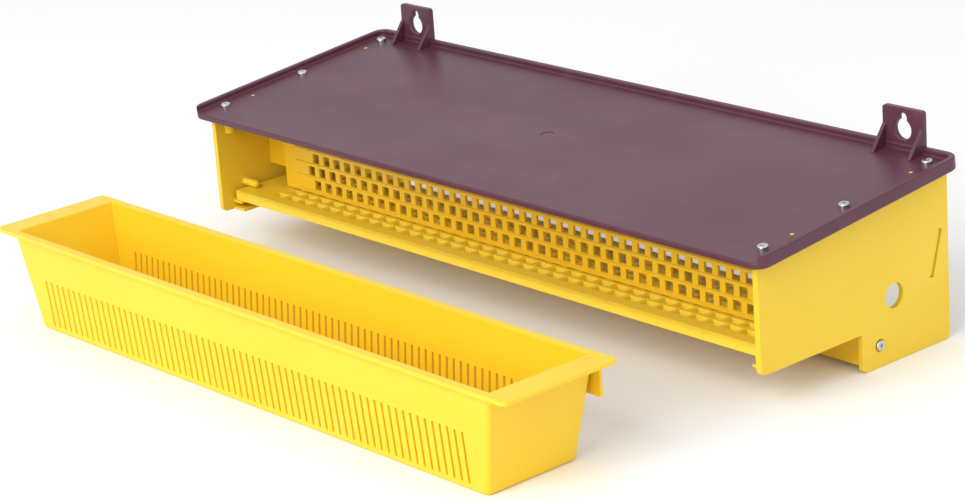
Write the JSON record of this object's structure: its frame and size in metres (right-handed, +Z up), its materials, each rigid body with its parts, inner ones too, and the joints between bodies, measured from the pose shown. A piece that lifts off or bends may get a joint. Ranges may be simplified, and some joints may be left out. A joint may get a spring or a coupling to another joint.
{
  "type": "front-mounted pollen trap",
  "caption": "Front-mounted beehive pollen trap: sloping roof with keyhole hanging lugs, side walls, slotted floor, panel of square bee holes, and a slitted pollen tray lying before it.",
  "frame": {"origin": "on the table, under the middle of the box round the whole set: the trap, and the tray drawn out before it", "axes": "+X along the width of the trap to the right as seen from the front, +Y back towards the hive, +Z up"},
  "size_m": [0.41, 0.2698, 0.1072],
  "materials": {
    "maroon_plastic": "moulded satin with faint flow lines",
    "yellow_plastic": "moulded satin",
    "amber_plastic": "moulded satin",
    "tray_plastic": "moulded satin, slightly translucent",
    "screw_steel": "zinc plated"
  },
  "bodies": {
    "trap_body": {"roof": "maroon_plastic", "side_wall_left": "yellow_plastic", "side_wall_right": "yellow_plastic", "roof_screws_left": "screw_steel", "roof_screws_right": "screw_steel", "side_screws": "screw_steel", "bypass_plate": "amber_plastic", "rear_sill": "amber_plastic", "rear_baffle": "yellow_plastic"},
    "floor_body": {"floor_grid": "yellow_plastic"},
    "panel_body": {"stripping_panel": "amber_plastic"},
    "tray_body": {"pollen_tray": "tray_plastic"}
  },
  "joints": [
    {"name": "tray_slide", "type": "slide", "parent": "trap_body", "child": "tray_body", "axis": [0, 1, 0], "range_m": [-0.06, 0.04]},
    {"name": "floor_slide", "type": "slide", "parent": "trap_body", "child": "floor_body", "axis": [0, -1, 0], "range_m": [0, 0.04]},
    {"name": "panel_slide", "type": "slide", "parent": "trap_body", "child": "panel_body", "axis": [-1, 0, 0], "range_m": [0, 0.016]}
  ]
}
